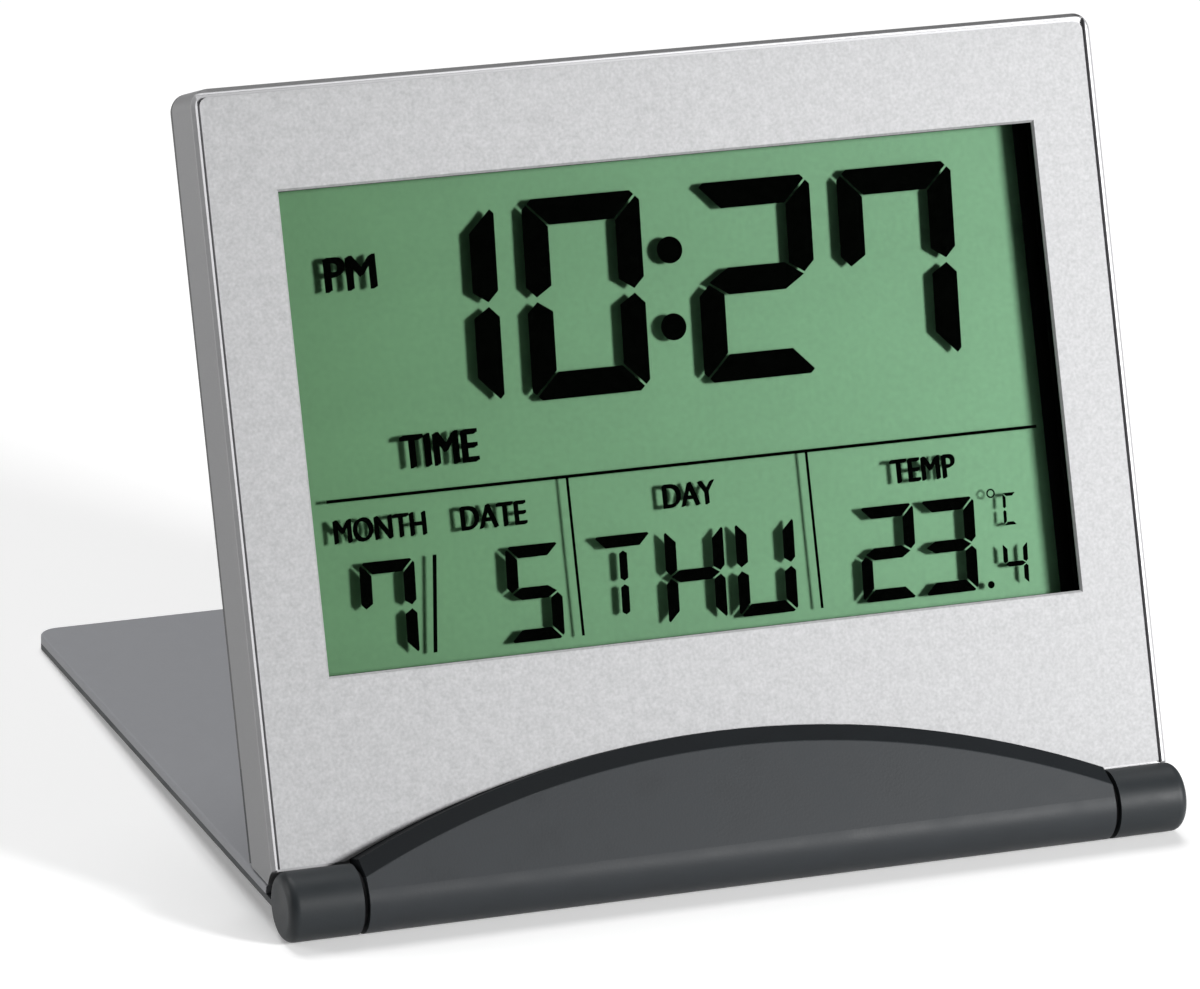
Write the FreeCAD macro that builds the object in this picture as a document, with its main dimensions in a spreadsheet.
import FreeCAD, Part
import math
import os

import Sketcher

# Folding desk alarm clock. A thin display head leans back on a flat cover. The cover turns on a
# barrel hinge along the head's lower edge: as a stand it lies on the table behind the head, and
# swung down and round the front it closes over the display.
#
# Sizes are in millimetres. The row frame has +X to the viewer's right, +Y to the back, +Z up,
# with the origin under the middle of the footprint.
#
# Two working frames share the hinge axis as their origin.
# Head frame: X across, Y into the case (away from the viewer), Z up along the face. It leans back
# by head_tilt. Names that begin with depth_ are Y values there, and names with _low or _high are
# Z values.
# Cover frame: X across, Y away from the hinge along the cover, Z up through its thickness. It
# slopes down to the rear by cover_slope.

Vector = FreeCAD.Vector
X_AXIS = Vector(1, 0, 0)

# ---------------------------------------------------------------- sizes
SIZES = {
    # overall case
    "case_width": 85.0,
    "face_top": 70.9,
    "face_foot": 3.25,
    "head_tilt": 22.0,
    "case_wall": 1.2,
    "corner_round": 1.6,
    "rim_width": 0.5,
    "rim_edge": 0.3,
    "groove": 0.25,
    "overrun": 1.0,
    "joint_lap": 0.1,
    # hinge
    "barrel_radius": 3.1,
    "barrel_relief": 0.25,
    "middle_length": 70.6,
    "seam": 0.5,
    "knuckle_round": 0.9,
    "pin_radius": 1.0,
    "pin_running_gap": 0.05,
    "pin_end_gap": 0.2,
    "pin_start": 29.5,
    "pin_end": 40.3,
    "ring_radius": 2.5,
    "ring_thickness": 0.4,
    # curved panel above the barrel
    "arch_radius": 89.77,
    "arch_top": 10.63,
    "arch_front": -0.68,
    "arch_gap": 0.05,
    "arch_bevel_face": 1.3,
    "arch_bevel_side": 1.5,
    "tangent_depth": -3.017,
    "tangent_height": 0.711,
    "panel_foot": 2.45,
    # window
    "window_left": -35.43,
    "window_right": 35.89,
    "window_low": 19.29,
    "window_high": 61.49,
    "window_bevel": 0.2,
    "lens_lap": 1.5,
    # depths through the head
    "depth_rim": 0.97,
    "depth_face": 1.12,
    "depth_floor": 1.42,
    "depth_holder": 2.12,
    "depth_inner": 2.52,
    "depth_front_glass": 2.62,
    "depth_rear_glass": 3.12,
    "depth_reflector": 4.22,
    "depth_reflector_rear": 4.42,
    "depth_guide": 4.47,
    "depth_guide_rear": 5.67,
    "depth_holder_rear": 5.9,
    "depth_board": 5.95,
    "depth_board_rear": 6.75,
    "depth_lip": 6.8,
    "depth_cover": 7.2,
    "depth_back": 7.6,
    "depth_hump_inner": 9.2,
    "depth_hump": 10.1,
    # display stack outlines
    "holder_half": 37.3,
    "holder_low": 13.2,
    "holder_high": 66.0,
    "glass_half": 36.4,
    "glass_low": 16.2,
    "glass_high": 64.6,
    "rear_glass_low": 18.9,
    "rear_glass_high": 61.9,
    "polariser_half": 35.9,
    "polariser_low": 18.6,
    "polariser_high": 62.2,
    "reflector_half": 36.0,
    "reflector_low": 19.2,
    "reflector_high": 61.6,
    "glass_gap": 0.1,
    "glass_round": 0.5,
    "guide_half": 35.4,
    "guide_low": 19.8,
    "guide_high": 61.0,
    "strip_half": 33.0,
    "strip_low_start": 16.6,
    "strip_low_end": 18.2,
    "strip_high_start": 62.6,
    "strip_high_end": 64.2,
    "strip_round": 0.35,
    # circuit board and what stands on it
    "board_half": 37.2,
    "board_low": 12.8,
    "board_high": 65.9,
    "board_cut_radius": 10.4,
    "chip_x": 17.0,
    "chip_v": 27.0,
    "chip_radius": 5.0,
    "chip_height": 1.2,
    "crystal_x": 5.0,
    "crystal_v": 17.5,
    "crystal_radius": 1.0,
    "crystal_length": 6.0,
    "crystal_gap": 0.1,
    "part_length": 2.0,
    "part_width": 1.2,
    "part_height": 0.7,
    "part_row_x": 3.0,
    "part_row_v": 22.0,
    "part_pitch": 3.2,
    "part_count": 3,
    "bead_x": 30.0,
    "bead_v": 17.0,
    "bead_radius": 0.8,
    "bead_stand": 0.5,
    "lead_radius": 0.2,
    "lead_spread": 0.4,
    # coin cell and its contacts
    "cell_x": -16.0,
    "cell_v": 32.0,
    "cell_radius": 10.0,
    "cell_cap_radius": 8.8,
    "depth_cell": 6.25,
    "depth_cell_step": 6.5,
    "depth_cell_rear": 8.75,
    "leaf_half": 2.4,
    "leaf_reach": 9.9,
    "leaf_slot_half": 0.8,
    "leaf_thickness": 0.2,
    "clip_thickness": 0.25,
    "clip_half": 3.0,
    "clip_foot": 3.2,
    "clip_gap": 0.1,
    "depth_clip_rear": 8.5,
    # battery cap
    "cap_radius": 11.4,
    "cap_gap": 0.08,
    "depth_cap": 8.85,
    "depth_cap_rear": 10.0,
    "lug_inner": 10.6,
    "lug_outer": 12.5,
    "lug_width": 5.0,
    "depth_lug": 8.6,
    "depth_lug_rear": 9.12,
    "lug_unlock_angle": 60.0,
    "coin_slot_length": 15.0,
    "coin_slot_width": 1.9,
    "coin_slot_depth": 0.6,
    # back hump, keys and alarm slider
    "hump_half": 35.0,
    "hump_low": 12.0,
    "hump_high": 60.0,
    "hump_wall": 0.9,
    "hump_round": 4.0,
    "hump_edge": 0.8,
    "key_radius": 2.6,
    "key_gap": 0.08,
    "key_row_v": 52.0,
    "key_first_x": -24.0,
    "key_pitch": 12.0,
    "key_edge": 0.4,
    "depth_key_rear": 10.8,
    "key_flange_radius": 3.3,
    "depth_key_flange": 8.7,
    "depth_key_flange_rear": 9.15,
    "key_stem_radius": 1.2,
    "depth_key_stem": 8.2,
    "switch_half": 2.3,
    "switch_height": 0.8,
    "switch_dome_radius": 1.3,
    "switch_dome_height": 0.2,
    "switch_round": 0.35,
    "slider_x": 24.2,
    "slider_half_length": 2.4,
    "slider_half_width": 1.3,
    "slider_travel": 3.0,
    "slider_gap": 0.12,
    "depth_slider": 8.3,
    "depth_slider_plate": 8.6,
    "depth_slider_plate_rear": 9.1,
    "depth_slider_rear": 10.6,
    "slider_plate_lap": 1.0,
    "slider_rib": 0.5,
    "slider_rib_pitch": 1.5,
    "slide_switch_half_length": 4.6,
    "slide_switch_half_width": 2.0,
    "slide_switch_height": 1.3,
    # buzzer
    "buzzer_x": 18.0,
    "buzzer_v": 31.0,
    "buzzer_radius": 9.0,
    "buzzer_ceramic_radius": 6.5,
    "depth_ceramic": 8.5,
    "depth_buzzer": 8.7,
    "depth_buzzer_rear": 8.9,
    "buzzer_seat_inner": 8.2,
    "sound_hole_radius": 0.8,
    "sound_ring_radius": 3.6,
    "sound_hole_count": 6,
    # temperature slits
    "slit_first_v": 15.2,
    "slit_pitch": 1.9,
    "slit_half_width": 0.45,
    "slit_left": 26.5,
    "slit_right": 33.0,
    "slit_count": 3,
    # screws
    "post_x": 39.0,
    "post_low": 9.0,
    "post_high": 67.0,
    "post_radius": 1.6,
    "depth_post": 5.55,
    "depth_cover_post": 5.6,
    "screw_radius": 0.75,
    "screw_hole_radius": 0.95,
    "screw_head_radius": 1.4,
    "screw_sink_radius": 1.5,
    "depth_screw_tip": 3.4,
    "depth_pilot": 3.2,
    "depth_screw_head": 7.0,
    "depth_screw_head_rear": 7.5,
    "screw_slot_width": 0.4,
    "screw_slot_depth": 0.35,
    "hinge_screw_x": 24.0,
    "hinge_screw_v": 5.3,
    "hinge_boss_radius": 1.5,
    "hinge_boss_gap": 0.05,
    "hinge_screw_head_height": 0.8,
    "depth_hinge_screw_tip": -0.6,
    "board_screw_x": 30.0,
    "board_screw_v": 14.6,
    "board_screw_head_radius": 1.1,
    "board_screw_head_height": 0.6,
    "board_screw_radius": 0.6,
    "depth_board_screw_tip": 3.6,
    # cover that is the stand
    "cover_half": 42.5,
    "cover_length": 70.9,
    "cover_bottom": -0.675,
    "cover_step": -0.1,
    "cover_seat": 0.275,
    "cover_top": 0.675,
    "cover_corner": 2.0,
    "skin_lip": 0.45,
    "skin_gap": 0.03,
    "skin_start": 3.7,
    "skin_edge": 0.2,
    "notch_gap": 0.45,
    "sheet_setback": 0.4,
    # foot pads under the cover's far edge
    "pad_near": 63.0,
    "pad_far": 67.0,
    "pad_left": 22.0,
    "pad_right": 38.0,
    "pad_far_height": 0.22,
    "pad_round": 1.0,
}

SIZES["half_width"] = SIZES["case_width"] / 2
SIZES["middle_half"] = SIZES["middle_length"] / 2
SIZES["knuckle_start"] = SIZES["middle_half"] + SIZES["seam"]
SIZES["clear_radius"] = SIZES["barrel_radius"] + SIZES["barrel_relief"]
SIZES["arch_centre"] = SIZES["arch_top"] - SIZES["arch_radius"]
# The panel's front is flat from where it leaves the barrel to the arch's top.
panel_rise = SIZES["arch_top"] - SIZES["tangent_height"]
SIZES["panel_slope"] = (SIZES["arch_front"] - SIZES["tangent_depth"]) / panel_rise
# The cover slopes so that the far pads and the barrel's underside lie on one level.
pad_drop = SIZES["barrel_radius"] + SIZES["cover_bottom"] - SIZES["pad_far_height"]
SIZES["cover_slope"] = math.degrees(math.asin(pad_drop / SIZES["pad_far"]))
SIZES["cover_fall"] = math.tan(math.radians(SIZES["cover_slope"]))
SIZES["cover_drop"] = -SIZES["cover_bottom"] / math.cos(math.radians(SIZES["cover_slope"]))
# The head's underside runs parallel to the cover below it.
rest_angle = math.radians(SIZES["head_tilt"] - SIZES["cover_slope"])
SIZES["under_slope"] = math.tan(rest_angle)
SIZES["under_offset"] = (SIZES["cover_top"] + SIZES["barrel_relief"]) / math.cos(rest_angle)
SIZES["under_wall"] = SIZES["case_wall"] / math.cos(rest_angle)
# The footprint runs from the barrel's front to the cover's far edge; its middle is the origin.
far_edge = SIZES["cover_length"] * math.cos(math.radians(SIZES["cover_slope"]))
SIZES["axis_back"] = -(far_edge - SIZES["barrel_radius"]) / 2

doc = FreeCAD.newDocument("folding_clock")
sheet = doc.addObject("Spreadsheet::Sheet", "Sizes")
for row, (alias, value) in enumerate(SIZES.items(), start=1):
    sheet.set("A%d" % row, alias)
    sheet.set("B%d" % row, repr(float(value)))
    sheet.setAlias("B%d" % row, alias)
doc.recompute()


def tied(text):
    """Put the sheet's name before each size name in an expression."""
    words = text.replace("(", " ( ").replace(")", " ) ").split()
    return " ".join("Sizes." + word if word in SIZES else word for word in words)


# ---------------------------------------------------------------- placements
HINGE_POINT = Vector(0, SIZES["axis_back"], SIZES["barrel_radius"])
HEAD_PLACE = FreeCAD.Placement(HINGE_POINT, FreeCAD.Rotation(X_AXIS, -SIZES["head_tilt"]))
COVER_PLACE = FreeCAD.Placement(HINGE_POINT, FreeCAD.Rotation(X_AXIS, -SIZES["cover_slope"]))
# The foot pads stand flat on the table, so only the hinge's distance along Y moves them.
PAD_PLACE = FreeCAD.Placement(Vector(0, SIZES["axis_back"], 0), FreeCAD.Rotation())

sub_parts = []


def new_body(label, place):
    """Start a named body in one of the working frames."""
    body = doc.addObject("PartDesign::Body", label)
    body.Label = label
    body.Placement = place
    sub_parts.append(body)
    return body


def new_sketch(body, name, plane, offset="0"):
    """Put an empty sketch on an origin plane of the body, moved along its normal."""
    sketch = body.newObject("Sketcher::SketchObject", name)
    origin_plane = [item for item in body.Origin.OriginFeatures if item.Role == plane][0]
    sketch.AttachmentSupport = [(origin_plane, "")]
    sketch.MapMode = "FlatFace"
    sketch.setExpression("AttachmentOffset.Base.z", tied(offset))
    return sketch


def bind(sketch, kind, geometry, point, text, start=1.0):
    """Tie one coordinate of a sketch point to a size, measured from the sketch's origin."""
    index = sketch.addConstraint(Sketcher.Constraint(kind, -1, 1, geometry, point, start))
    sketch.setExpression("Constraints[%d]" % index, tied(text))


def draw_rectangle(sketch, left, right, low, high):
    """Draw a rectangle whose four sides follow the given size expressions."""
    first = sketch.GeometryCount
    corners = [Vector(0, 0, 0), Vector(1, 0, 0), Vector(1, 1, 0), Vector(0, 1, 0)]
    for side in range(4):
        sketch.addGeometry(Part.LineSegment(corners[side], corners[(side + 1) % 4]))
    for side in range(4):
        following = first + (side + 1) % 4
        sketch.addConstraint(Sketcher.Constraint("Coincident", first + side, 2, following, 1))
    for side, kind in enumerate(("Horizontal", "Vertical", "Horizontal", "Vertical")):
        sketch.addConstraint(Sketcher.Constraint(kind, first + side))
    bind(sketch, "DistanceX", first, 1, left)
    bind(sketch, "DistanceY", first, 1, low)
    bind(sketch, "DistanceX", first + 1, 2, right)
    bind(sketch, "DistanceY", first + 1, 2, high)


def draw_circle(sketch, across, up, radius):
    """Draw a circle whose centre and radius follow the given size expressions."""
    index = sketch.addGeometry(Part.Circle(Vector(1, 1, 0), Vector(0, 0, 1), 1))
    bind(sketch, "DistanceX", index, 3, across)
    bind(sketch, "DistanceY", index, 3, up)
    size = sketch.addConstraint(Sketcher.Constraint("Radius", index, 1.0))
    sketch.setExpression("Constraints[%d]" % size, tied(radius))


def draw_polygon(sketch, points):
    """Draw a closed polygon through points given as pairs of size expressions."""
    count = len(points)
    angles = [2 * math.pi * step / count for step in range(count)]
    rough = [Vector(math.cos(angle), math.sin(angle), 0) for angle in angles]
    for side in range(count):
        sketch.addGeometry(Part.LineSegment(rough[side], rough[(side + 1) % count]))
    for side in range(count):
        following = (side + 1) % count
        sketch.addConstraint(Sketcher.Constraint("Coincident", side, 2, following, 1))
        bind(sketch, "DistanceX", side, 1, points[side][0])
        bind(sketch, "DistanceY", side, 1, points[side][1])


def draw_arch(sketch, half, limit, radius):
    """Close the space between an arc about the arch's centre and a level line.

    half is the half width, limit the level line's height and radius the arc's radius, each a
    size expression.
    """
    side = sheet_value(half)
    reach = sheet_value(radius)
    centre = SIZES["arch_centre"]
    spring = centre + math.sqrt(reach * reach - side * side)
    level = sheet_value(limit)
    spread = math.asin(side / reach)
    circle = Part.Circle(Vector(0, centre, 0), Vector(0, 0, 1), reach)
    arc = Part.ArcOfCircle(circle, math.pi / 2 - spread, math.pi / 2 + spread)
    right_foot = Vector(side, spring, 0)
    left_foot = Vector(-side, spring, 0)
    sketch.addGeometry(arc)
    sketch.addGeometry(Part.LineSegment(left_foot, Vector(-side, level, 0)))
    sketch.addGeometry(Part.LineSegment(Vector(-side, level, 0), Vector(side, level, 0)))
    sketch.addGeometry(Part.LineSegment(Vector(side, level, 0), right_foot))
    for first, start, second, end in ((0, 2, 1, 1), (1, 2, 2, 1), (2, 2, 3, 1), (3, 2, 0, 1)):
        sketch.addConstraint(Sketcher.Constraint("Coincident", first, start, second, end))
    bind(sketch, "DistanceX", 0, 3, "0", 0.0)
    bind(sketch, "DistanceY", 0, 3, "arch_centre", centre)
    size = sketch.addConstraint(Sketcher.Constraint("Radius", 0, reach))
    sketch.setExpression("Constraints[%d]" % size, tied(radius))
    sketch.addConstraint(Sketcher.Constraint("Vertical", 1))
    sketch.addConstraint(Sketcher.Constraint("Vertical", 3))
    bind(sketch, "DistanceX", 2, 1, "-1 * ( %s )" % half, -side)
    bind(sketch, "DistanceY", 2, 1, limit, level)
    bind(sketch, "DistanceX", 2, 2, half, side)
    bind(sketch, "DistanceY", 2, 2, limit, level)


def sheet_value(text):
    """Work out a sum or difference of size names, for the starting shape of a sketch."""
    total = 0.0
    sign = 1
    for word in text.split():
        if word == "-":
            sign = -1
        elif word != "+":
            total += sign * (SIZES[word] if word in SIZES else float(word))
            sign = 1
    return total


def raise_pad(body, sketch, name, length, both_ways=False):
    """Pad a sketch along its normal, or evenly to both sides."""
    pad = body.newObject("PartDesign::Pad", name)
    pad.Profile = sketch
    pad.setExpression("Length", tied(length))
    if both_ways:
        pad.SideType = "Symmetric"
    sketch.Visibility = False
    return pad


def cut_pocket(body, sketch, name, length, both_ways=False):
    """Pocket a sketch against its normal, or evenly to both sides."""
    pocket = body.newObject("PartDesign::Pocket", name)
    pocket.Profile = sketch
    pocket.setExpression("Length", tied(length))
    if both_ways:
        pocket.SideType = "Symmetric"
    sketch.Visibility = False
    return pocket


# In the head frame a sketch lies on the XZ plane, whose normal points at the viewer. A slab from
# depth near to depth far is sketched at far and padded towards the viewer; a cut is sketched at
# near and goes into the case.
def add_slab(body, name, sides, near, far):
    """Add a block with sides (left, right, low, high) between two depths."""
    sketch = new_sketch(body, name + "_outline", "XZ_Plane", "-1 * ( %s )" % far)
    draw_rectangle(sketch, *sides)
    return raise_pad(body, sketch, name, "%s - ( %s )" % (far, near))


def cut_slab(body, name, sides, near, far):
    """Cut a block with sides (left, right, low, high) between two depths."""
    sketch = new_sketch(body, name + "_outline", "XZ_Plane", "-1 * ( %s )" % near)
    draw_rectangle(sketch, *sides)
    return cut_pocket(body, sketch, name, "%s - ( %s )" % (far, near))


def add_rounds(body, name, circles, near, far):
    """Add cylinders, given as (x, height, radius), between two depths."""
    sketch = new_sketch(body, name + "_outline", "XZ_Plane", "-1 * ( %s )" % far)
    for across, up, radius in circles:
        draw_circle(sketch, across, up, radius)
    return raise_pad(body, sketch, name, "%s - ( %s )" % (far, near))


def cut_rounds(body, name, circles, near, far):
    """Cut cylinders, given as (x, height, radius), between two depths."""
    sketch = new_sketch(body, name + "_outline", "XZ_Plane", "-1 * ( %s )" % near)
    for across, up, radius in circles:
        draw_circle(sketch, across, up, radius)
    return cut_pocket(body, sketch, name, "%s - ( %s )" % (far, near))


def edges_where(feature, test):
    """Name the edges of a feature whose middle point and edge pass a test."""
    names = []
    for index, edge in enumerate(feature.Shape.Edges, start=1):
        middle = edge.valueAt((edge.FirstParameter + edge.LastParameter) / 2)
        if test(edge, middle):
            names.append("Edge%d" % index)
    return names


def round_edges(body, base, name, radius, test):
    """Fillet the edges of the base feature that pass the test."""
    doc.recompute()
    fillet = body.newObject("PartDesign::Fillet", name)
    fillet.Base = (base, edges_where(base, test))
    fillet.setExpression("Radius", tied(radius))
    return fillet


def bevel_edges(body, base, name, size, test):
    """Chamfer the edges of the base feature that pass the test."""
    doc.recompute()
    chamfer = body.newObject("PartDesign::Chamfer", name)
    chamfer.Base = (base, edges_where(base, test))
    chamfer.setExpression("Size", tied(size))
    return chamfer


def runs_along(edge, axis):
    """Tell whether an edge is straight and parallel to an axis given as 0, 1 or 2."""
    if not isinstance(edge.Curve, Part.Line):
        return False
    return abs(abs(edge.Curve.Direction[axis]) - 1) < TIGHT


TIGHT = 1e-4


def at_size(value, size):
    """Tell whether a coordinate lies at a named size or a number."""
    target = SIZES[size] if size in SIZES else float(size)
    return abs(value - target) < TIGHT


# ---------------------------------------------------------------- front shell
def build_front_shell():
    """Silver front housing: face floor, side walls and four screw posts."""
    body = new_body("front_shell", HEAD_PLACE)
    side = new_sketch(body, "shell_side", "YZ_Plane")
    draw_polygon(side, (
        ("depth_rim", "under_offset + under_slope * depth_rim"),
        ("depth_cover", "under_offset + under_slope * depth_cover"),
        ("depth_cover", "face_top"),
        ("depth_rim", "face_top"),
    ))
    block = raise_pad(body, side, "shell_block", "case_width", both_ways=True)
    corners = round_edges(body, block, "shell_corners", "corner_round",
                          lambda edge, mid: runs_along(edge, 1) and at_size(mid.z, "face_top"))
    rim = bevel_edges(body, corners, "shell_rim_edge", "rim_edge",
                      lambda edge, mid: at_size(mid.y, "depth_rim") and mid.z > SIZES["face_foot"])
    relief = new_sketch(body, "barrel_relief_outline", "YZ_Plane")
    draw_circle(relief, "0", "0", "clear_radius")
    cut_pocket(body, relief, "barrel_relief", "case_width + 2 * overrun", both_ways=True)
    cut_slab(body, "face_recess", (
        "rim_width - half_width", "half_width - rim_width", "0", "face_top - rim_width",
    ), "depth_rim", "depth_floor")
    hollow = new_sketch(body, "shell_hollow_side", "YZ_Plane")
    draw_polygon(hollow, (
        ("depth_inner", "under_offset + under_wall + under_slope * depth_inner"),
        ("depth_back", "under_offset + under_wall + under_slope * depth_back"),
        ("depth_back", "face_top - case_wall"),
        ("depth_inner", "face_top - case_wall"),
    ))
    cut_pocket(body, hollow, "shell_hollow", "case_width - 2 * case_wall", both_ways=True)
    cut_slab(body, "lower_step", ("-1 * half_width", "half_width", "0", "hump_low"),
             "depth_lip", "depth_back")
    cut_slab(body, "lens_opening", (
        "window_left - lens_lap", "window_right + lens_lap",
        "window_low - lens_lap", "window_high + lens_lap",
    ), "depth_rim", "depth_inner + overrun")
    cut_slab(body, "holder_seat", (
        "-1 * holder_half - glass_gap", "holder_half + glass_gap",
        "holder_low - glass_gap", "holder_high + glass_gap",
    ), "depth_holder", "depth_inner + overrun")
    posts = [(x, v) for x in ("-1 * post_x", "post_x") for v in ("post_low", "post_high")]
    add_rounds(body, "screw_posts", [(x, v, "post_radius") for x, v in posts],
               "depth_inner - joint_lap", "depth_post")
    cut_rounds(body, "screw_pilots", [(x, v, "screw_radius") for x, v in posts],
               "depth_pilot", "depth_back")
    seats = ("-1 * hinge_screw_x", "0", "hinge_screw_x")
    cut_rounds(body, "hinge_boss_holes",
               [(x, "hinge_screw_v", "hinge_boss_radius + hinge_boss_gap") for x in seats],
               "depth_rim", "depth_inner + overrun")
    return body


def build_face_plate():
    """Thin matte metal plate on the face, with the window and the arch cut out."""
    body = new_body("face_plate", HEAD_PLACE)
    margin = "rim_width + groove"
    plate = add_slab(body, "plate", (
        "%s - half_width" % margin, "half_width - ( %s )" % margin,
        "face_foot", "face_top - ( %s )" % margin,
    ), "depth_face", "depth_floor")
    corners = round_edges(body, plate, "plate_corners", "corner_round / 2",
                          lambda edge, mid: runs_along(edge, 1) and mid.z > SIZES["arch_top"])
    cut_rounds(body, "arch_notch", [("0", "arch_centre", "arch_radius + arch_gap")],
               "depth_rim", "depth_floor + overrun")
    window = cut_slab(body, "plate_window",
                      ("window_left", "window_right", "window_low", "window_high"),
                      "depth_rim", "depth_floor + overrun")
    half = max(-SIZES["window_left"], SIZES["window_right"]) + TIGHT
    low, high = SIZES["window_low"] - TIGHT, SIZES["window_high"] + TIGHT
    bevel_edges(body, window, "window_bevel_edge", "window_bevel",
                lambda edge, mid: at_size(mid.y, "depth_face") and abs(mid.x) < half
                and low < mid.z < high)
    return body


def build_slab_part(label, sides, near_depth, far_depth, rounding=None):
    """A flat rectangular sub-part between two depths, with its corners rounded if asked."""
    body = new_body(label, HEAD_PLACE)
    slab = add_slab(body, label + "_slab", sides, near_depth, far_depth)
    if rounding:
        round_edges(body, slab, label + "_corners", rounding,
                    lambda edge, mid: runs_along(edge, 1))
    return body


def build_display_stack():
    """Lens, holder, polariser, two glasses, reflector, light guide and rubber contact strips."""
    build_slab_part("display_window", (
        "window_left - lens_lap + glass_gap", "window_right + lens_lap - glass_gap",
        "window_low - lens_lap + glass_gap", "window_high + lens_lap - glass_gap",
    ), "depth_floor", "depth_holder", "glass_round")
    holder = new_body("display_holder", HEAD_PLACE)
    add_slab(holder, "holder_block", ("-1 * holder_half", "holder_half", "holder_low", "holder_high"),
             "depth_holder", "depth_holder_rear")
    cut_slab(holder, "holder_opening",
             ("window_left", "window_right", "window_low", "window_high"),
             "depth_floor", "depth_back")
    cut_slab(holder, "glass_pocket",
             ("-1 * glass_half - glass_gap", "glass_half + glass_gap",
              "glass_low - glass_gap", "glass_high + glass_gap"),
             "depth_inner", "depth_back")
    cut_rounds(holder, "board_screw_pilots",
               [(x, "board_screw_v", "board_screw_radius")
                for x in ("-1 * board_screw_x", "0", "board_screw_x")],
               "depth_board_screw_tip - joint_lap", "depth_back")
    build_slab_part("display_polariser", (
        "-1 * polariser_half", "polariser_half", "polariser_low", "polariser_high",
    ), "depth_inner", "depth_front_glass")
    build_slab_part("display_front_glass", (
        "-1 * glass_half", "glass_half", "glass_low", "glass_high",
    ), "depth_front_glass", "depth_rear_glass")
    build_slab_part("display_rear_glass", (
        "-1 * glass_half", "glass_half", "rear_glass_low", "rear_glass_high",
    ), "depth_rear_glass", "depth_reflector")
    build_slab_part("display_reflector", (
        "-1 * reflector_half", "reflector_half", "reflector_low", "reflector_high",
    ), "depth_reflector", "depth_reflector_rear")
    build_slab_part("light_guide", (
        "-1 * guide_half", "guide_half", "guide_low", "guide_high",
    ), "depth_guide", "depth_guide_rear", "glass_round")
    for place in ("low", "high"):
        build_slab_part("contact_strip_" + place, (
            "-1 * strip_half", "strip_half", "strip_%s_start" % place, "strip_%s_end" % place,
        ), "depth_rear_glass", "depth_board", "strip_round")


# ---------------------------------------------------------------- electronics
KEY_NAMES = ("mode", "set", "up", "down")


def key_x(index):
    """Expression for a key's place in the row."""
    return "key_first_x + %d * key_pitch" % index


def build_board():
    """Circuit board with the round cell opening and three screw holes."""
    body = new_body("circuit_board", HEAD_PLACE)
    board = add_slab(body, "board", ("-1 * board_half", "board_half", "board_low", "board_high"),
                     "depth_board", "depth_board_rear")
    round_edges(body, board, "board_corners", "part_length / 2",
                lambda edge, mid: runs_along(edge, 1))
    cut_rounds(body, "cell_opening", [("cell_x", "cell_v", "board_cut_radius")],
               "depth_floor", "depth_back")
    cut_rounds(body, "board_screw_holes",
               [(x, "board_screw_v", "board_screw_radius + glass_gap")
                for x in ("-1 * board_screw_x", "0", "board_screw_x")],
               "depth_floor", "depth_back")
    return body


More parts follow.
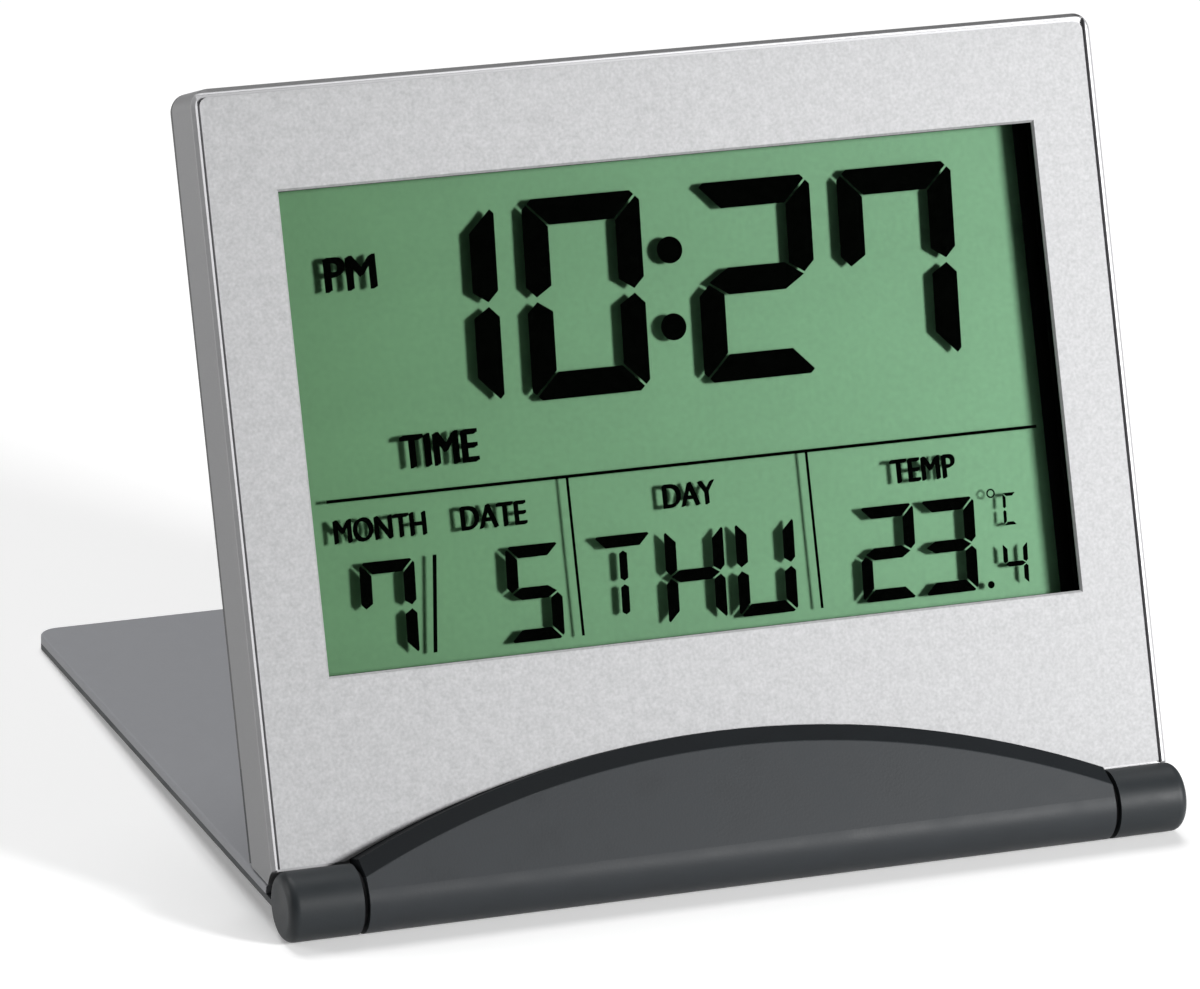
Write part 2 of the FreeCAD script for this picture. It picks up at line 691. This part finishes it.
def build_board_parts():
    """Chip under its round blob, crystal, small chip parts, and the temperature bead."""
    chip = new_body("clock_chip", HEAD_PLACE)
    blob = add_rounds(chip, "chip_blob", [("chip_x", "chip_v", "chip_radius")],
                      "depth_board_rear", "depth_board_rear + chip_height")
    round_edges(chip, blob, "chip_crown", "chip_height - glass_gap",
                lambda edge, mid: mid.y > SIZES["depth_board_rear"] + SIZES["chip_height"] / 2
                and not runs_along(edge, 1))

    crystal = doc.addObject("Part::Cylinder", "crystal_can")
    crystal.setExpression("Radius", tied("crystal_radius"))
    crystal.setExpression("Height", tied("crystal_length"))
    rest = SIZES["depth_board_rear"] + SIZES["crystal_radius"] + SIZES["crystal_gap"]
    crystal_local = FreeCAD.Placement(
        Vector(SIZES["crystal_x"], rest, SIZES["crystal_v"]),
        FreeCAD.Rotation(Vector(0, 1, 0), 90))
    crystal.Placement = HEAD_PLACE.multiply(crystal_local)
    doc.recompute()
    rounded = doc.addObject("Part::Fillet", "quartz_crystal")
    rounded.Base = crystal
    ends = [index for index, edge in enumerate(crystal.Shape.Edges, start=1)
            if isinstance(edge.Curve, Part.Circle)]
    round_size = SIZES["crystal_radius"] / 3
    rounded.Edges = [(index, round_size, round_size) for index in ends]
    rounded.Label = "quartz_crystal"
    sub_parts.append(rounded)

    pieces = []
    for index in range(SIZES["part_count"]):
        piece = doc.addObject("Part::Box", "chip_part_%d" % (index + 1))
        piece.setExpression("Length", tied("part_length"))
        piece.setExpression("Width", tied("part_height"))
        piece.setExpression("Height", tied("part_width"))
        corner = Vector(SIZES["part_row_x"], SIZES["depth_board_rear"],
                        SIZES["part_row_v"] + index * SIZES["part_pitch"])
        piece.Placement = HEAD_PLACE.multiply(FreeCAD.Placement(corner, FreeCAD.Rotation()))
        pieces.append(piece)
    group_of("chip_parts", pieces)

    bead = doc.addObject("Part::Sphere", "bead")
    bead.setExpression("Radius", tied("bead_radius"))
    bead_depth = SIZES["depth_board_rear"] + SIZES["bead_stand"] + SIZES["bead_radius"]
    bead_centre = Vector(SIZES["bead_x"], bead_depth, SIZES["bead_v"])
    bead.Placement = HEAD_PLACE.multiply(FreeCAD.Placement(bead_centre, FreeCAD.Rotation()))
    shapes = [bead]
    for side in (-1, 1):
        lead = doc.addObject("Part::Cylinder", "bead_lead")
        lead.setExpression("Radius", tied("lead_radius"))
        lead.setExpression("Height", tied("bead_stand + bead_radius"))
        foot = Vector(SIZES["bead_x"] + side * SIZES["lead_spread"], SIZES["depth_board_rear"],
                      SIZES["bead_v"])
        turn = FreeCAD.Rotation(X_AXIS, -90)
        lead.Placement = HEAD_PLACE.multiply(FreeCAD.Placement(foot, turn))
        shapes.append(lead)
    joined = doc.addObject("Part::MultiFuse", "temperature_bead")
    joined.Shapes = shapes
    joined.Label = "temperature_bead"
    sub_parts.append(joined)


def group_of(label, members):
    """Gather separate identical solids in one named sub-part."""
    group = doc.addObject("Part::Compound", label)
    group.Links = members
    group.Label = label
    sub_parts.append(group)
    return group


def build_cell():
    """Coin cell: wide can with the narrower sealing cap on the side that faces the board."""
    body = new_body("coin_cell", HEAD_PLACE)
    can = add_rounds(body, "cell_can", [("cell_x", "cell_v", "cell_radius")],
                     "depth_cell_step", "depth_cell_rear")
    round_edges(body, can, "cell_can_edge", "part_height / 3",
                lambda edge, mid: at_size(mid.y, "depth_cell_rear"))
    add_rounds(body, "cell_cap", [("cell_x", "cell_v", "cell_cap_radius")],
               "depth_cell", "depth_cell_step")


def build_contacts():
    """Forked leaf under the cell, and the bent clip that touches its rim."""
    leaf = new_body("contact_leaf", HEAD_PLACE)
    add_slab(leaf, "leaf_strip", (
        "cell_x - leaf_half", "cell_x + leaf_half", "cell_v - leaf_reach", "cell_v + leaf_reach",
    ), "depth_board", "depth_board + leaf_thickness")
    cut_slab(leaf, "leaf_slot", (
        "cell_x - leaf_slot_half", "cell_x + leaf_slot_half",
        "cell_v - leaf_reach / 2", "cell_v + leaf_reach + overrun",
    ), "depth_floor", "depth_back")
    clip = new_body("contact_clip", HEAD_PLACE)
    edge = "cell_x + cell_radius + clip_gap"
    add_slab(clip, "clip_wall", (
        edge, edge + " + clip_thickness", "cell_v - clip_half", "cell_v + clip_half",
    ), "depth_board_rear", "depth_clip_rear")
    add_slab(clip, "clip_foot_plate", (
        edge, edge + " + clip_foot", "cell_v - clip_half", "cell_v + clip_half",
    ), "depth_board_rear", "depth_board_rear + clip_thickness")


def build_switches():
    """A dome switch under each key, and the slide switch under the alarm slider."""
    for index, name in enumerate(KEY_NAMES):
        body = new_body(name + "_switch", HEAD_PLACE)
        centre = key_x(index)
        add_slab(body, "switch_base", (
            centre + " - switch_half", centre + " + switch_half",
            "key_row_v - switch_half", "key_row_v + switch_half",
        ), "depth_board_rear", "depth_board_rear + switch_height")
        top = "depth_board_rear + switch_height"
        add_rounds(body, "switch_dome", [(centre, "key_row_v", "switch_dome_radius")],
                   top, top + " + switch_dome_height")
    middle = "slider_x + slider_travel / 2"
    build_slab_part("alarm_switch", (
        middle + " - slide_switch_half_length", middle + " + slide_switch_half_length",
        "key_row_v - slide_switch_half_width", "key_row_v + slide_switch_half_width",
    ), "depth_board_rear", "depth_board_rear + slide_switch_height", "switch_round")


def build_buzzer():
    """Brass buzzer disc with its ceramic layer, and two wires to the board."""
    disc = new_body("buzzer_disc", HEAD_PLACE)
    add_rounds(disc, "brass", [("buzzer_x", "buzzer_v", "buzzer_radius")],
               "depth_buzzer", "depth_buzzer_rear")
    ceramic = new_body("buzzer_ceramic", HEAD_PLACE)
    add_rounds(ceramic, "ceramic", [("buzzer_x", "buzzer_v", "buzzer_ceramic_radius")],
               "depth_ceramic", "depth_buzzer")
    wires = []
    for side in (-1, 1):
        wire = doc.addObject("Part::Cylinder", "buzzer_wire")
        wire.setExpression("Radius", tied("lead_radius"))
        reach = "depth_ceramic" if side < 0 else "depth_buzzer"
        wire.setExpression("Height", tied(reach + " - depth_board_rear"))
        spread = 0.0 if side < 0 else SIZES["buzzer_radius"] - SIZES["part_length"] / 2
        foot = Vector(SIZES["buzzer_x"] + spread, SIZES["depth_board_rear"],
                      SIZES["buzzer_v"] + SIZES["chip_radius"] / 2)
        turn = FreeCAD.Rotation(X_AXIS, -90)
        wire.Placement = HEAD_PLACE.multiply(FreeCAD.Placement(foot, turn))
        wires.append(wire)
    group_of("buzzer_wires", wires)


# ---------------------------------------------------------------- back of the head
def draw_turned_lugs(sketch, angle):
    """Draw two lugs across the battery opening, turned by an angle about its centre."""
    turn = math.radians(angle)
    across = Vector(math.cos(turn), math.sin(turn), 0)
    along = Vector(-math.sin(turn), math.cos(turn), 0)
    centre = Vector(SIZES["cell_x"], SIZES["cell_v"], 0)
    for side in (-1, 1):
        first = sketch.GeometryCount
        inner = centre + across * side * SIZES["lug_inner"]
        outer = centre + across * side * SIZES["lug_outer"]
        half = along * (SIZES["lug_width"] / 2)
        corners = [inner - half, outer - half, outer + half, inner + half]
        for step in range(4):
            sketch.addGeometry(Part.LineSegment(corners[step], corners[(step + 1) % 4]))
        for step in range(4):
            following = first + (step + 1) % 4
            joint = Sketcher.Constraint("Coincident", first + step, 2, following, 1)
            sketch.addConstraint(joint)
            sketch.addConstraint(Sketcher.Constraint("Block", first + step))


def build_rear_cover():
    """Dark back of the head: flat rim, raised middle, and openings for all controls."""
    body = new_body("rear_cover", HEAD_PLACE)
    inset = "glass_gap"
    outer = add_slab(body, "back_plate", (
        "%s - half_width" % inset, "half_width - %s" % inset,
        "under_offset + under_slope * depth_back", "face_top - %s" % inset,
    ), "depth_cover", "depth_back")
    round_edges(body, outer, "back_corners", "corner_round - " + inset,
                lambda edge, mid: runs_along(edge, 1) and mid.z > SIZES["hump_high"])
    add_slab(body, "lower_thickness", (
        "%s - half_width" % inset, "half_width - %s" % inset,
        "under_offset + under_slope * depth_back", "hump_low - %s" % inset,
    ), "depth_lip", "depth_cover")
    gap = "case_wall + glass_gap"
    add_slab(body, "back_lip", (
        "%s - half_width" % gap, "half_width - ( %s )" % gap,
        "hump_low - overrun", "face_top - ( %s )" % gap,
    ), "depth_lip", "depth_cover")
    hump_sketch = new_sketch(body, "hump_outline", "XZ_Plane", "-1 * depth_hump")
    draw_rectangle(hump_sketch, "-1 * hump_half", "hump_half", "hump_low", "hump_high")
    hump = raise_pad(body, hump_sketch, "hump", "depth_hump - depth_cover")
    inner_half = SIZES["hump_half"] + TIGHT
    corners = round_edges(body, hump, "hump_corners", "hump_round",
                          lambda edge, mid: runs_along(edge, 1) and mid.y > SIZES["depth_back"]
                          and abs(mid.x) < inner_half)
    round_edges(body, corners, "hump_rear_edge", "hump_edge",
                lambda edge, mid: at_size(mid.y, "depth_hump"))
    across, low, high = "hump_half - hump_wall", "hump_low + hump_wall", "hump_high - hump_wall"
    bend = "( hump_round - hump_wall )"
    cut_slab(body, "hollow_wide", (
        "-1 * ( %s )" % across, across, "%s + %s" % (low, bend), "%s - %s" % (high, bend),
    ), "depth_floor", "depth_hump_inner")
    cut_slab(body, "hollow_tall", (
        "-1 * ( %s - %s )" % (across, bend), "%s - %s" % (across, bend), low, high,
    ), "depth_floor", "depth_hump_inner")
    bend_places = [("%d * ( %s - %s )" % (side, across, bend), end)
                   for side in (-1, 1)
                   for end in ("%s + %s" % (low, bend), "%s - %s" % (high, bend))]
    cut_rounds(body, "hollow_bends", [(x, v, bend) for x, v in bend_places],
               "depth_floor", "depth_hump_inner")
    posts = [(x, v) for x in ("-1 * post_x", "post_x") for v in ("post_low", "post_high")]
    add_rounds(body, "cover_posts", [(x, v, "post_radius") for x, v in posts],
               "depth_cover_post", "depth_back - 2 * joint_lap")
    cut_rounds(body, "cover_post_holes", [(x, v, "screw_hole_radius") for x, v in posts],
               "depth_floor", "depth_back + overrun")
    cut_rounds(body, "screw_sinks", [(x, v, "screw_sink_radius") for x, v in posts],
               "depth_screw_head", "depth_back + overrun")
    cut_rounds(body, "cap_opening", [("cell_x", "cell_v", "cap_radius + cap_gap")],
               "depth_floor", "depth_hump + overrun")
    notches = new_sketch(body, "lug_notches_outline", "XZ_Plane", "-1 * depth_floor")
    draw_turned_lugs(notches, SIZES["lug_unlock_angle"])
    cut_pocket(body, notches, "lug_notches", "depth_hump + overrun - depth_floor")
    cut_rounds(body, "key_holes",
               [(key_x(index), "key_row_v", "key_radius + key_gap")
                for index in range(len(KEY_NAMES))],
               "depth_floor", "depth_hump + overrun")
    cut_slab(body, "slider_slot", (
        "slider_x - slider_half_length - slider_gap",
        "slider_x + slider_half_length + slider_travel + slider_gap",
        "key_row_v - slider_half_width - slider_gap",
        "key_row_v + slider_half_width + slider_gap",
    ), "depth_floor", "depth_hump + overrun")
    add_rounds(body, "buzzer_seat", [
        ("buzzer_x", "buzzer_v", "buzzer_radius"),
        ("buzzer_x", "buzzer_v", "buzzer_seat_inner"),
    ], "depth_buzzer_rear", "depth_hump_inner")
    holes = [("buzzer_x", "buzzer_v", "sound_hole_radius")]
    for index in range(SIZES["sound_hole_count"]):
        turn = 2 * math.pi * index / SIZES["sound_hole_count"]
        holes.append(("buzzer_x + %.4f * sound_ring_radius" % math.cos(turn),
                      "buzzer_v + %.4f * sound_ring_radius" % math.sin(turn),
                      "sound_hole_radius"))
    cut_rounds(body, "sound_holes", holes, "depth_floor", "depth_hump + overrun")
    slits = new_sketch(body, "slits_outline", "XZ_Plane", "-1 * depth_floor")
    for index in range(SIZES["slit_count"]):
        middle = "slit_first_v + %d * slit_pitch" % index
        draw_rectangle(slits, "slit_left", "slit_right",
                       middle + " - slit_half_width", middle + " + slit_half_width")
    cut_pocket(body, slits, "temperature_slits", "depth_hump + overrun - depth_floor")


def build_battery_cap():
    """Round cap with two lugs and a slot for a coin."""
    body = new_body("battery_cap", HEAD_PLACE)
    disc = add_rounds(body, "cap_disc", [("cell_x", "cell_v", "cap_radius")],
                      "depth_cap", "depth_cap_rear")
    round_edges(body, disc, "cap_edge", "key_edge",
                lambda edge, mid: at_size(mid.y, "depth_cap_rear"))
    lugs = new_sketch(body, "lugs_outline", "XZ_Plane", "-1 * depth_lug_rear")
    draw_turned_lugs(lugs, 0.0)
    raise_pad(body, lugs, "lugs", "depth_lug_rear - depth_lug")
    cut_slab(body, "coin_slot", (
        "cell_x - coin_slot_length / 2", "cell_x + coin_slot_length / 2",
        "cell_v - coin_slot_width / 2", "cell_v + coin_slot_width / 2",
    ), "depth_cap_rear - coin_slot_depth", "depth_cap_rear + overrun")


def build_keys():
    """Four round keys: cap, hidden flange and stem."""
    for index, name in enumerate(KEY_NAMES):
        body = new_body(name + "_key", HEAD_PLACE)
        centre = key_x(index)
        cap = add_rounds(body, "key_cap", [(centre, "key_row_v", "key_radius")],
                         "depth_key_flange", "depth_key_rear")
        round_edges(body, cap, "key_crown", "key_edge",
                    lambda edge, mid: at_size(mid.y, "depth_key_rear"))
        add_rounds(body, "key_flange", [(centre, "key_row_v", "key_flange_radius")],
                   "depth_key_flange", "depth_key_flange_rear")
        add_rounds(body, "key_stem", [(centre, "key_row_v", "key_stem_radius")],
                   "depth_key_stem", "depth_key_flange")


def build_slider():
    """Alarm slider: knob with three grip ribs on a wider hidden plate."""
    body = new_body("alarm_slider", HEAD_PLACE)
    add_slab(body, "slider_knob", (
        "slider_x - slider_half_length", "slider_x + slider_half_length",
        "key_row_v - slider_half_width", "key_row_v + slider_half_width",
    ), "depth_slider", "depth_slider_rear")
    add_slab(body, "slider_plate", (
        "slider_x - slider_half_length - slider_plate_lap",
        "slider_x + slider_half_length + slider_plate_lap",
        "key_row_v - slider_half_width - slider_plate_lap",
        "key_row_v + slider_half_width + slider_plate_lap",
    ), "depth_slider_plate", "depth_slider_plate_rear")
    grooves = new_sketch(body, "grip_outline", "XZ_Plane",
                         "-1 * ( depth_slider_rear - slider_rib )")
    for step in (-1, 0, 1):
        middle = "slider_x + %d * slider_rib_pitch" % step
        draw_rectangle(grooves, middle + " - slider_rib / 2", middle + " + slider_rib / 2",
                       "key_row_v - slider_half_width - overrun",
                       "key_row_v + slider_half_width + overrun")
    cut_pocket(body, grooves, "grip", "slider_rib + overrun")


def build_screws():
    """Case, hinge and board screws, each kind one group of separate solids."""
    corner_places = [(x * SIZES["post_x"], v) for x in (-1, 1)
                     for v in (SIZES["post_low"], SIZES["post_high"])]
    screw_group("case_screws", corner_places, "screw_radius", "screw_head_radius",
                "depth_screw_tip", "depth_screw_head", "depth_screw_head_rear")
    row = [x * SIZES["hinge_screw_x"] for x in (-1, 0, 1)]
    screw_group("hinge_screws", [(x, SIZES["hinge_screw_v"]) for x in row],
                "screw_radius", "screw_head_radius", "depth_hinge_screw_tip", "depth_inner",
                "depth_inner + hinge_screw_head_height")
    row = [x * SIZES["board_screw_x"] for x in (-1, 0, 1)]
    screw_group("board_screws", [(x, SIZES["board_screw_v"]) for x in row],
                "board_screw_radius", "board_screw_head_radius", "depth_board_screw_tip",
                "depth_board_rear", "depth_board_rear + board_screw_head_height")


def screw_group(label, places, shank, head, tip, under_head, head_top):
    """Make slotted screws at (x, height) places; the depths are size expressions."""
    screws = []
    turn = FreeCAD.Rotation(X_AXIS, -90)
    for across, up in places:
        rod = doc.addObject("Part::Cylinder", "screw_rod")
        rod.setExpression("Radius", tied(shank))
        rod.setExpression("Height", tied("%s - ( %s )" % (under_head, tip)))
        start = Vector(across, sheet_value(tip), up)
        rod.Placement = HEAD_PLACE.multiply(FreeCAD.Placement(start, turn))
        disc = doc.addObject("Part::Cylinder", "screw_disc")
        disc.setExpression("Radius", tied(head))
        disc.setExpression("Height", tied("%s - ( %s )" % (head_top, under_head)))
        start = Vector(across, sheet_value(under_head), up)
        disc.Placement = HEAD_PLACE.multiply(FreeCAD.Placement(start, turn))
        joined = doc.addObject("Part::Fuse", "screw_joined")
        joined.Base = rod
        joined.Tool = disc
        slot = doc.addObject("Part::Box", "screw_slot")
        slot.setExpression("Length", tied("screw_slot_width"))
        slot.setExpression("Width", tied("screw_slot_depth * 2"))
        slot.setExpression("Height", tied(head + " * 3"))
        corner = Vector(across - SIZES["screw_slot_width"] / 2,
                        sheet_value(head_top) - SIZES["screw_slot_depth"],
                        up - SIZES[head] * 1.5)
        slot.Placement = HEAD_PLACE.multiply(FreeCAD.Placement(corner, FreeCAD.Rotation()))
        screw = doc.addObject("Part::Cut", "screw")
        screw.Base = joined
        screw.Tool = slot
        screws.append(screw)
    group_of(label, screws)


# ---------------------------------------------------------------- hinge
def build_hinge_panel():
    """Dark middle barrel of the hinge with the curved panel that rises over the face."""
    body = new_body("hinge_panel", HEAD_PLACE)
    side = new_sketch(body, "panel_side", "YZ_Plane")
    draw_polygon(side, (
        ("tangent_depth", "tangent_height"),
        ("0", "0"),
        ("depth_floor", "panel_foot"),
        ("depth_floor", "arch_top + overrun"),
        ("arch_front + panel_slope * overrun", "arch_top + overrun"),
    ))
    raise_pad(body, side, "panel_block", "middle_length", both_ways=True)
    above = new_sketch(body, "panel_trim_outline", "XZ_Plane", "barrel_radius + overrun")
    draw_arch(above, "middle_half + overrun", "arch_top + overrun + overrun", "arch_radius")
    trim = cut_pocket(body, above, "panel_trim", "3 * barrel_radius")
    front = SIZES["arch_front"]
    doc.recompute()
    bevel = body.newObject("PartDesign::Chamfer", "panel_bevel")
    bevel.Base = (trim, edges_where(trim, lambda edge, mid: isinstance(
        edge.Curve, (Part.Circle, Part.Ellipse)) and mid.y < front / 2))
    bevel.ChamferType = "Two distances"
    bevel.setExpression("Size", tied("arch_bevel_side"))
    bevel.setExpression("Size2", tied("arch_bevel_face"))
    barrel = new_sketch(body, "barrel_outline", "YZ_Plane")
    draw_circle(barrel, "0", "0", "barrel_radius")
    raise_pad(body, barrel, "barrel", "middle_length", both_ways=True)
    seats = ("-1 * hinge_screw_x", "0", "hinge_screw_x")
    add_rounds(body, "hinge_bosses", [(x, "hinge_screw_v", "hinge_boss_radius") for x in seats],
               "depth_face", "depth_inner")
    cut_rounds(body, "hinge_pilots", [(x, "hinge_screw_v", "screw_radius") for x in seats],
               "depth_hinge_screw_tip - 2 * joint_lap", "depth_back")
    deep = "pin_start - 2 * joint_lap"
    for name, offset in (("left", "-1 * middle_half - overrun"), ("right", deep)):
        bore = new_sketch(body, "bore_outline_" + name, "YZ_Plane", offset)
        draw_circle(bore, "0", "0", "pin_radius")
        cut = cut_pocket(body, bore, "bore_" + name, "middle_half + overrun - ( %s )" % deep)
        cut.Reversed = True
    return body


def build_pins():
    """Steel hinge pins and the friction rings in the two seams."""
    for name, side in (("left", -1), ("right", 1)):
        start = "pin_start" if side > 0 else "-1 * pin_end"
        pin = new_body("hinge_pin_" + name, HEAD_PLACE)
        outline = new_sketch(pin, "pin_outline", "YZ_Plane", start)
        draw_circle(outline, "0", "0", "pin_radius")
        rod = raise_pad(pin, outline, "pin_rod", "pin_end - pin_start")
        bevel_edges(pin, rod, "pin_ends", "pin_radius / 5",
                    lambda edge, mid: isinstance(edge.Curve, Part.Circle))
        ring = new_body("friction_ring_" + name, HEAD_PLACE)
        middle = "middle_half + seam / 2"
        start = "%s - ring_thickness / 2" % middle
        if side < 0:
            start = "-1 * ( %s ) - ring_thickness / 2" % middle
        outline = new_sketch(ring, "ring_outline", "YZ_Plane", start)
        draw_circle(outline, "0", "0", "ring_radius")
        draw_circle(outline, "0", "0", "pin_radius + pin_running_gap / 2")
        raise_pad(ring, outline, "ring", "ring_thickness")


# ---------------------------------------------------------------- cover
def plan_sketch(body, name, height):
    """Sketch lying flat in the cover frame at a height."""
    return new_sketch(body, name, "XY_Plane", height)


def build_cover_frame():
    """Dark frame of the cover with the two hinge knuckles."""
    body = new_body("cover_frame", COVER_PLACE)
    outline = plan_sketch(body, "frame_outline", "cover_bottom")
    draw_rectangle(outline, "-1 * cover_half", "cover_half", "0", "cover_length")
    plate = raise_pad(body, outline, "frame_plate", "cover_step - cover_bottom")
    round_edges(body, plate, "frame_corners", "cover_corner",
                lambda edge, mid: runs_along(edge, 2) and mid.y > SIZES["skin_start"])
    step = plan_sketch(body, "frame_step_outline", "cover_step")
    lip = "skin_lip + skin_gap"
    draw_rectangle(step, "%s - cover_half" % lip, "cover_half - ( %s )" % lip,
                   "0", "cover_length - ( %s )" % lip)
    raise_pad(body, step, "frame_step", "cover_seat - cover_step")
    for name, side in (("left", -1), ("right", 1)):
        build_knuckle(body, name, side)
    notch = plan_sketch(body, "notch_outline", "barrel_radius + overrun")
    draw_arch(notch, "knuckle_start", "0 - barrel_radius - overrun", "arch_radius + notch_gap")
    cut_pocket(body, notch, "notch", "2 * barrel_radius + 2 * overrun")
    for name, offset in (("left", "-1 * cover_half"), ("right", "knuckle_start - overrun")):
        bore = new_sketch(body, "knuckle_bore_outline_" + name, "YZ_Plane", offset)
        if name == "left":
            bore.setExpression("AttachmentOffset.Base.z",
                               tied("-1 * ( pin_end + pin_end_gap )"))
        draw_circle(bore, "0", "0", "pin_radius + pin_running_gap")
        cut = cut_pocket(body, bore, "knuckle_bore_" + name,
                         "pin_end + pin_end_gap - knuckle_start + overrun")
        cut.Reversed = True
    return body


def build_knuckle(body, name, side):
    """Revolve one knuckle with a rounded outer end about the hinge axis."""
    sketch = new_sketch(body, "knuckle_outline_" + name, "XY_Plane")
    inner = side * SIZES["knuckle_start"]
    outer = side * SIZES["cover_half"]
    radius = SIZES["barrel_radius"]
    curve = SIZES["knuckle_round"]
    centre = Vector(outer - side * curve, radius - curve, 0)
    circle = Part.Circle(centre, Vector(0, 0, 1), curve)
    sketch.addGeometry(Part.LineSegment(Vector(inner, 0, 0), Vector(outer, 0, 0)))
    sketch.addGeometry(Part.LineSegment(Vector(outer, 0, 0), Vector(outer, centre.y, 0)))
    first_angle, last_angle = (0, math.pi / 2) if side > 0 else (math.pi / 2, math.pi)
    sketch.addGeometry(Part.ArcOfCircle(circle, first_angle, last_angle))
    sketch.addGeometry(Part.LineSegment(Vector(centre.x, radius, 0), Vector(inner, radius, 0)))
    sketch.addGeometry(Part.LineSegment(Vector(inner, radius, 0), Vector(inner, 0, 0)))
    low_end, high_end = (1, 2) if side > 0 else (2, 1)
    sketch.addConstraint(Sketcher.Constraint("Coincident", 0, 2, 1, 1))
    sketch.addConstraint(Sketcher.Constraint("Coincident", 1, 2, 2, low_end))
    sketch.addConstraint(Sketcher.Constraint("Coincident", 2, high_end, 3, 1))
    sketch.addConstraint(Sketcher.Constraint("Coincident", 3, 2, 4, 1))
    sketch.addConstraint(Sketcher.Constraint("Coincident", 4, 2, 0, 1))
    sign = "" if side > 0 else "-1 * "
    corners = (
        (0, 1, sign + "knuckle_start", inner, "0", 0.0),
        (0, 2, sign + "cover_half", outer, "0", 0.0),
        (1, 2, sign + "cover_half", outer, "barrel_radius - knuckle_round", centre.y),
        (3, 1, sign + "( cover_half - knuckle_round )", centre.x, "barrel_radius", radius),
        (3, 2, sign + "knuckle_start", inner, "barrel_radius", radius),
    )
    for line, end, across, across_start, up, up_start in corners:
        bind(sketch, "DistanceX", line, end, across, across_start)
        bind(sketch, "DistanceY", line, end, up, up_start)
    size = sketch.addConstraint(Sketcher.Constraint("Radius", 2, curve))
    sketch.setExpression("Constraints[%d]" % size, tied("knuckle_round"))
    turned = body.newObject("PartDesign::Revolution", "knuckle_" + name)
    turned.Profile = sketch
    turned.ReferenceAxis = (sketch, ["H_Axis"])
    turned.Angle = 360
    sketch.Visibility = False


def build_cover_skin():
    """Silver skin on the cover's outer side, folded down over its edges."""
    body = new_body("cover_skin", COVER_PLACE)
    outline = plan_sketch(body, "skin_outline", "cover_step")
    draw_rectangle(outline, "-1 * cover_half", "cover_half", "skin_start", "cover_length")
    block = raise_pad(body, outline, "skin_block", "cover_top - cover_step")
    corners = round_edges(body, block, "skin_corners", "cover_corner",
                          lambda edge, mid: runs_along(edge, 2) and mid.y > SIZES["pad_near"])
    round_edges(body, corners, "skin_top_edge", "skin_edge",
                lambda edge, mid: at_size(mid.z, "cover_top") and mid.y > 2 * SIZES["skin_start"])
    tray = plan_sketch(body, "skin_tray_outline", "cover_seat")
    draw_rectangle(tray, "skin_lip - cover_half", "cover_half - skin_lip",
                   "0", "cover_length - skin_lip")
    cut_pocket(body, tray, "skin_tray", "cover_seat - cover_step + overrun")
    notch = plan_sketch(body, "skin_notch_outline", "cover_top + overrun")
    draw_arch(notch, "knuckle_start + sheet_setback", "0 - barrel_radius - overrun",
              "arch_radius + notch_gap + sheet_setback")
    cut_pocket(body, notch, "skin_notch", "cover_top + 2 * overrun - cover_step")


def build_foot_pads():
    """Two thin wedge pads that lie flat on the table under the cover's far edge."""
    for name, start in (("left", "-1 * pad_right"), ("right", "pad_left")):
        body = new_body("foot_pad_" + name, PAD_PLACE)
        side = new_sketch(body, "pad_side", "YZ_Plane", start)
        level = "barrel_radius - cover_drop - %s * cover_fall"
        draw_polygon(side, (
            ("pad_near", "0"),
            ("pad_far", "0"),
            ("pad_far", level % "pad_far"),
            ("pad_near", level % "pad_near"),
        ))
        wedge = raise_pad(body, side, "pad_wedge", "pad_right - pad_left")
        round_edges(body, wedge, "pad_corners", "pad_round",
                    lambda edge, mid: runs_along(edge, 2))


def report_faults():
    """Stop if any feature failed or any sub-part is empty or not valid."""
    faults = []
    for item in doc.Objects:
        if any(word in ("Invalid", "Error") for word in item.State):
            faults.append("%s: %s" % (item.Name, item.State))
    for part in sub_parts:
        if part.Shape.isNull() or not part.Shape.isValid():
            faults.append("%s: shape is empty or not valid" % part.Label)
    if faults:
        raise RuntimeError("; ".join(faults))


def export_all():
    """Write one STEP file for each sub-part, named by its label."""
    os.makedirs("parts", exist_ok=True)
    for part in sub_parts:
        part.Shape.exportStep("parts/%s.step" % part.Label)
        print("%-22s %9.2f mm3, solids %d" % (part.Label, part.Shape.Volume,
                                              len(part.Shape.Solids)))


def main():
    """Build every sub-part from the face to the cover, check them and write them out."""
    build_front_shell()
    build_face_plate()
    build_display_stack()
    build_board()
    build_board_parts()
    build_cell()
    build_contacts()
    build_switches()
    build_buzzer()
    build_rear_cover()
    build_battery_cap()
    build_keys()
    build_slider()
    build_screws()
    build_hinge_panel()
    build_pins()
    build_cover_frame()
    build_cover_skin()
    build_foot_pads()
    doc.recompute()
    report_faults()
    export_all()


main()
